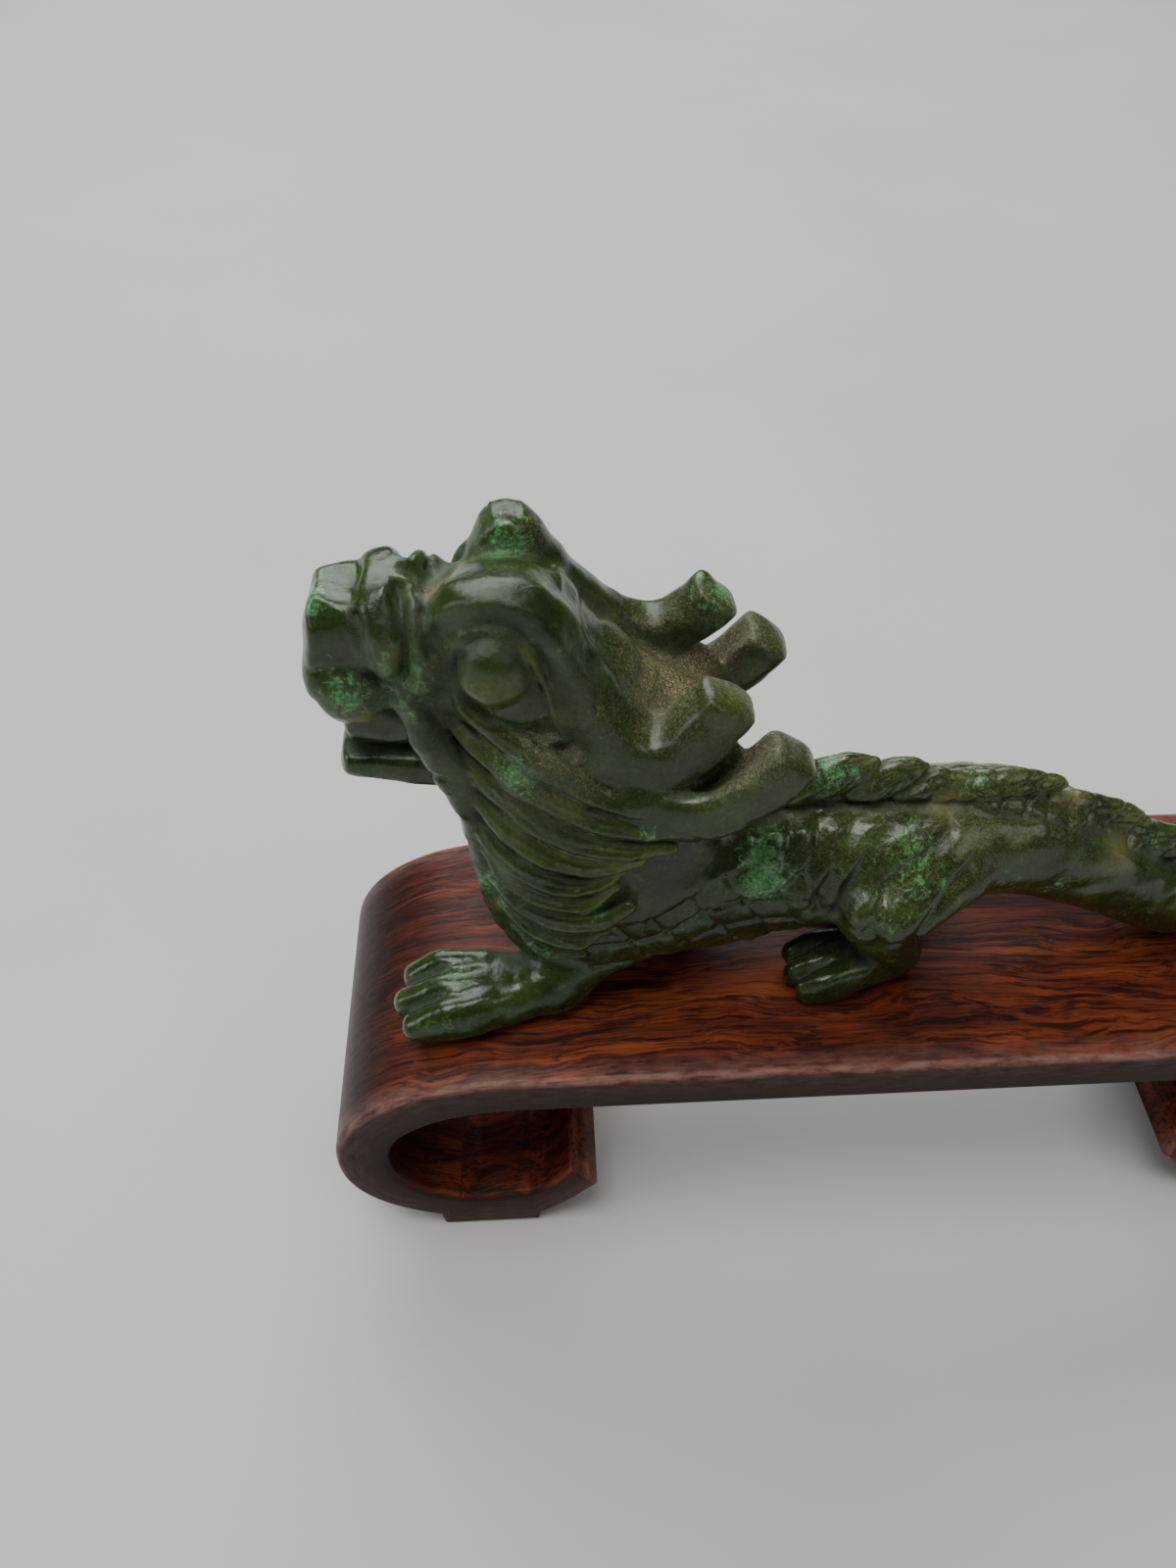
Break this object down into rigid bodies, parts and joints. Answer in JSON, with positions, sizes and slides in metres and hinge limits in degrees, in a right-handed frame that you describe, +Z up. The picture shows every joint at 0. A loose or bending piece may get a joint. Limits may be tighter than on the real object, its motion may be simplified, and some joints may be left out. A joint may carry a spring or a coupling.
{
  "type": "jade dragon carving",
  "caption": "Small carved jade dragon with open jaws, swept antlers and a low tail, standing on a rosewood stand with scrolled ends.",
  "frame": {"origin": "on the ground, under the middle of the stand", "axes": "+X along the stand from the dragon's nose to its tail, +Y across it away from the leading foreleg, +Z up"},
  "size_m": [0.16, 0.042, 0.1127],
  "materials": {
    "jade": "polished, very dark mottled green",
    "rosewood": "polished, dark red-brown with black figure"
  },
  "bodies": {
    "root": {"jade_dragon": "jade", "scroll_stand": "rosewood"}
  },
  "joints": []
}
